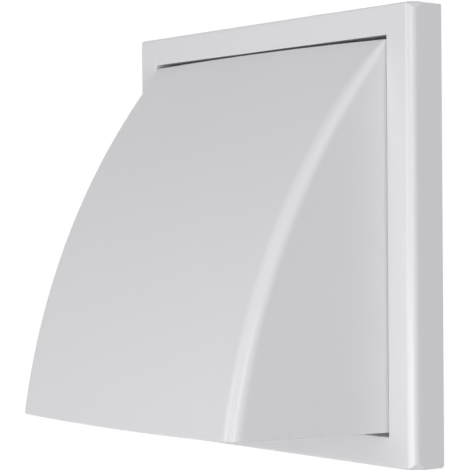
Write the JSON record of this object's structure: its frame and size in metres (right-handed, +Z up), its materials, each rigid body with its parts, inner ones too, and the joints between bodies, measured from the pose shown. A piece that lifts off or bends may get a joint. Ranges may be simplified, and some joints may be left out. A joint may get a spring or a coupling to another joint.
{
  "type": "wall vent hood",
  "caption": "Square wall outlet for a round duct: a curved cowl, open below, clipped into a recessed frame over a hinged gravity flap.",
  "frame": {"origin": "centre of the square frame on the wall plane, on the axis of the duct spigot", "axes": "+X to the right seen from in front of the wall, +Y into the wall along the spigot, +Z up; the hood faces -Y and opens downwards"},
  "size_m": [0.15, 0.099, 0.15],
  "materials": {
    "frame_plastic": "white moulded plastic, satin gloss",
    "hood_plastic": "white moulded plastic, satin gloss",
    "flap_plastic": "white moulded plastic, satin gloss"
  },
  "bodies": {
    "outlet": {"wall_frame": "frame_plastic", "hood": "hood_plastic"},
    "shutter": {"flap": "flap_plastic"}
  },
  "joints": [
    {"name": "flap_swing", "type": "hinge", "parent": "outlet", "child": "shutter", "pos_m": [0, -0.0048, 0.055], "axis": [-1, 0, 0], "range_deg": [0, 30]}
  ]
}
